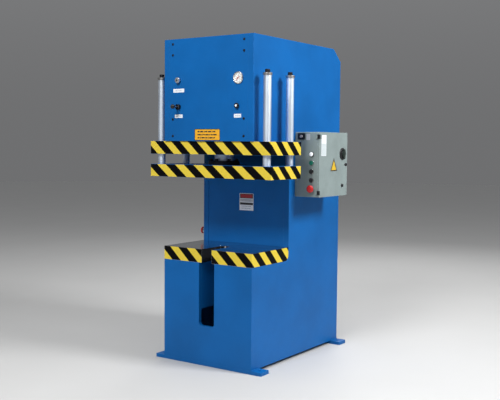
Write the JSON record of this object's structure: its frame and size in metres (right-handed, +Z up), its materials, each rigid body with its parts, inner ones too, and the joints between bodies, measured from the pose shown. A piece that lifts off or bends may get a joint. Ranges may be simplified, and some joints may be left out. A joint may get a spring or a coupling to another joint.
{
  "type": "hydraulic press",
  "caption": "Floor-standing C-frame hydraulic press with a guided moving platen, slotted work table and side-mounted control enclosure.",
  "frame": {"origin": "centre of the four anchor holes, at floor level", "axes": "+X to the operator's right, where the electrical enclosure is; +Y from the front to the rear; +Z up"},
  "size_m": [1.1783, 1.347, 2.4],
  "materials": {
    "frame_paint": "satin blue machine enamel",
    "panel_paint": "satin blue machine enamel",
    "hazard_paint": "yellow and black slanted stripes",
    "table_steel": "ground steel",
    "rod_chrome": "polished hard chrome",
    "collar_steel": "turned steel",
    "black_steel": "black oxide",
    "bearing_bronze": "machined bronze",
    "cylinder_steel": "primed steel",
    "tank_paint": "grey enamel",
    "motor_paint": "grey enamel",
    "pipe_steel": "drawn tube",
    "enclosure_paint": "grey textured powder coat",
    "hinge_black": "matt black",
    "black_plastic": "matt black",
    "knob_chrome": "polished",
    "gauge_steel": "bright bezel, white dial",
    "needle_red": "red",
    "lens_glass": "clear",
    "bezel_steel": "dark nickel",
    "red_plastic": "red",
    "green_plastic": "green",
    "lamp_white": "frosted white",
    "knob_grey": "grey"
  },
  "bodies": {
    "frame": {"base_front_plate": "frame_paint", "control_bezels": "bezel_steel", "counter_housing": "black_plastic", "cylinder_barrel": "cylinder_steel", "cylinder_gland": "bearing_bronze", "cylinder_screws": "black_steel", "enclosure_body": "enclosure_paint", "enclosure_hinges": "hinge_black", "front_foot_bar": "frame_paint", "gauge_case": "gauge_steel", "gauge_lens": "lens_glass", "guide_bushings": "bearing_bronze", "guide_plate_screws": "black_steel", "head_bottom_plate": "frame_paint", "head_front_panel": "panel_paint", "head_top_plate": "frame_paint", "hydraulic_pipes": "pipe_steel", "panel_bushings": "black_steel", "panel_rails": "frame_paint", "panel_screws": "black_steel", "pilot_light": "lamp_white", "pump_motor": "motor_paint", "rear_access_cover": "panel_paint", "rear_cover_screws": "black_steel", "rear_foot_bar": "frame_paint", "rear_plate": "frame_paint", "reservoir": "tank_paint", "side_plate_left": "frame_paint", "side_plate_right": "frame_paint", "table_plate": "table_steel", "table_ribs": "frame_paint", "throat_back_plate": "frame_paint", "upper_guide_plate": "hazard_paint", "valve_block": "cylinder_steel"},
    "moving_platen": {"platen": "hazard_paint", "guide_rod_front_left": "rod_chrome", "guide_rod_front_right": "rod_chrome", "guide_rod_rear_left": "rod_chrome", "guide_rod_rear_right": "rod_chrome", "rod_collars": "collar_steel", "collar_screws": "black_steel", "ram": "rod_chrome", "ram_flange": "black_steel", "ram_flange_screws": "black_steel"},
    "gauge_pointer": {"gauge_needle": "needle_red"},
    "relief_control": {"relief_knob": "knob_chrome"},
    "speed_control": {"speed_knob": "black_plastic"},
    "lever_control": {"control_lever": "black_plastic"},
    "palm_control": {"side_button": "red_plastic"},
    "door": {"enclosure_door": "enclosure_paint", "door_knuckles": "hinge_black", "disconnect_plate": "black_plastic"},
    "disconnect_control": {"disconnect_handle": "black_plastic"},
    "latch_control": {"door_latch": "black_plastic"},
    "lock_control": {"door_lock": "black_plastic"},
    "start_control": {"start_button": "green_plastic"},
    "selector_upper_control": {"selector_upper": "black_plastic"},
    "selector_lower_control": {"selector_lower": "black_plastic"},
    "stop_control": {"stop_button": "red_plastic"},
    "counter_control": {"counter_knob": "knob_grey"}
  },
  "joints": [
    {"name": "platen_stroke", "type": "slide", "parent": "frame", "child": "moving_platen", "axis": [0, 0, -1], "range_m": [0, 0.44]},
    {"name": "gauge_needle_turn", "type": "hinge", "parent": "frame", "child": "gauge_pointer", "pos_m": [0.273, -0.63, 2.098], "axis": [0, 1, 0], "range_deg": [0, 270], "stiffness_Nm_per_rad": 0.01},
    {"name": "relief_knob_turn", "type": "hinge", "parent": "frame", "child": "relief_control", "pos_m": [-0.265, -0.63, 2.098], "axis": [0, 1, 0], "range_deg": [-720, 720]},
    {"name": "speed_knob_turn", "type": "hinge", "parent": "frame", "child": "speed_control", "pos_m": [0.265, -0.63, 1.903], "axis": [0, 1, 0], "range_deg": [-540, 540]},
    {"name": "control_lever_tip", "type": "hinge", "parent": "frame", "child": "lever_control", "pos_m": [-0.265, -0.641, 1.903], "axis": [1, 0, 0], "range_deg": [-20, 20]},
    {"name": "palm_button_press", "type": "slide", "parent": "frame", "child": "palm_control", "axis": [1, 0, 0], "range_m": [0, 0.006], "stiffness_N_per_m": 800},
    {"name": "door_swing", "type": "hinge", "parent": "frame", "child": "door", "pos_m": [0.612, -0.066, 1.484], "axis": [0, 0, -1], "range_deg": [0, 110]},
    {"name": "disconnect_turn", "type": "hinge", "parent": "door", "child": "disconnect_control", "pos_m": [0.607, 0.299, 1.5635], "axis": [1, 0, 0], "range_deg": [-90, 0]},
    {"name": "latch_turn", "type": "hinge", "parent": "door", "child": "latch_control", "pos_m": [0.607, 0.349, 1.4805], "axis": [-1, 0, 0], "range_deg": [0, 90]},
    {"name": "lock_turn", "type": "hinge", "parent": "door", "child": "lock_control", "pos_m": [0.607, 0.294, 1.3195], "axis": [-1, 0, 0], "range_deg": [0, 90]},
    {"name": "start_button_press", "type": "slide", "parent": "frame", "child": "start_control", "axis": [0, 1, 0], "range_m": [0, 0.004], "stiffness_N_per_m": 500},
    {"name": "selector_upper_turn", "type": "hinge", "parent": "frame", "child": "selector_upper_control", "pos_m": [0.543, -0.06, 1.4323], "axis": [0, 1, 0], "range_deg": [-45, 45]},
    {"name": "selector_lower_turn", "type": "hinge", "parent": "frame", "child": "selector_lower_control", "pos_m": [0.543, -0.06, 1.3679], "axis": [0, 1, 0], "range_deg": [-45, 45]},
    {"name": "stop_button_press", "type": "slide", "parent": "frame", "child": "stop_control", "axis": [0, 1, 0], "range_m": [0, 0.006]},
    {"name": "counter_knob_turn", "type": "hinge", "parent": "frame", "child": "counter_control", "pos_m": [0.454, -0.06, 1.6945], "axis": [0, 1, 0], "range_deg": [0, 270]}
  ]
}
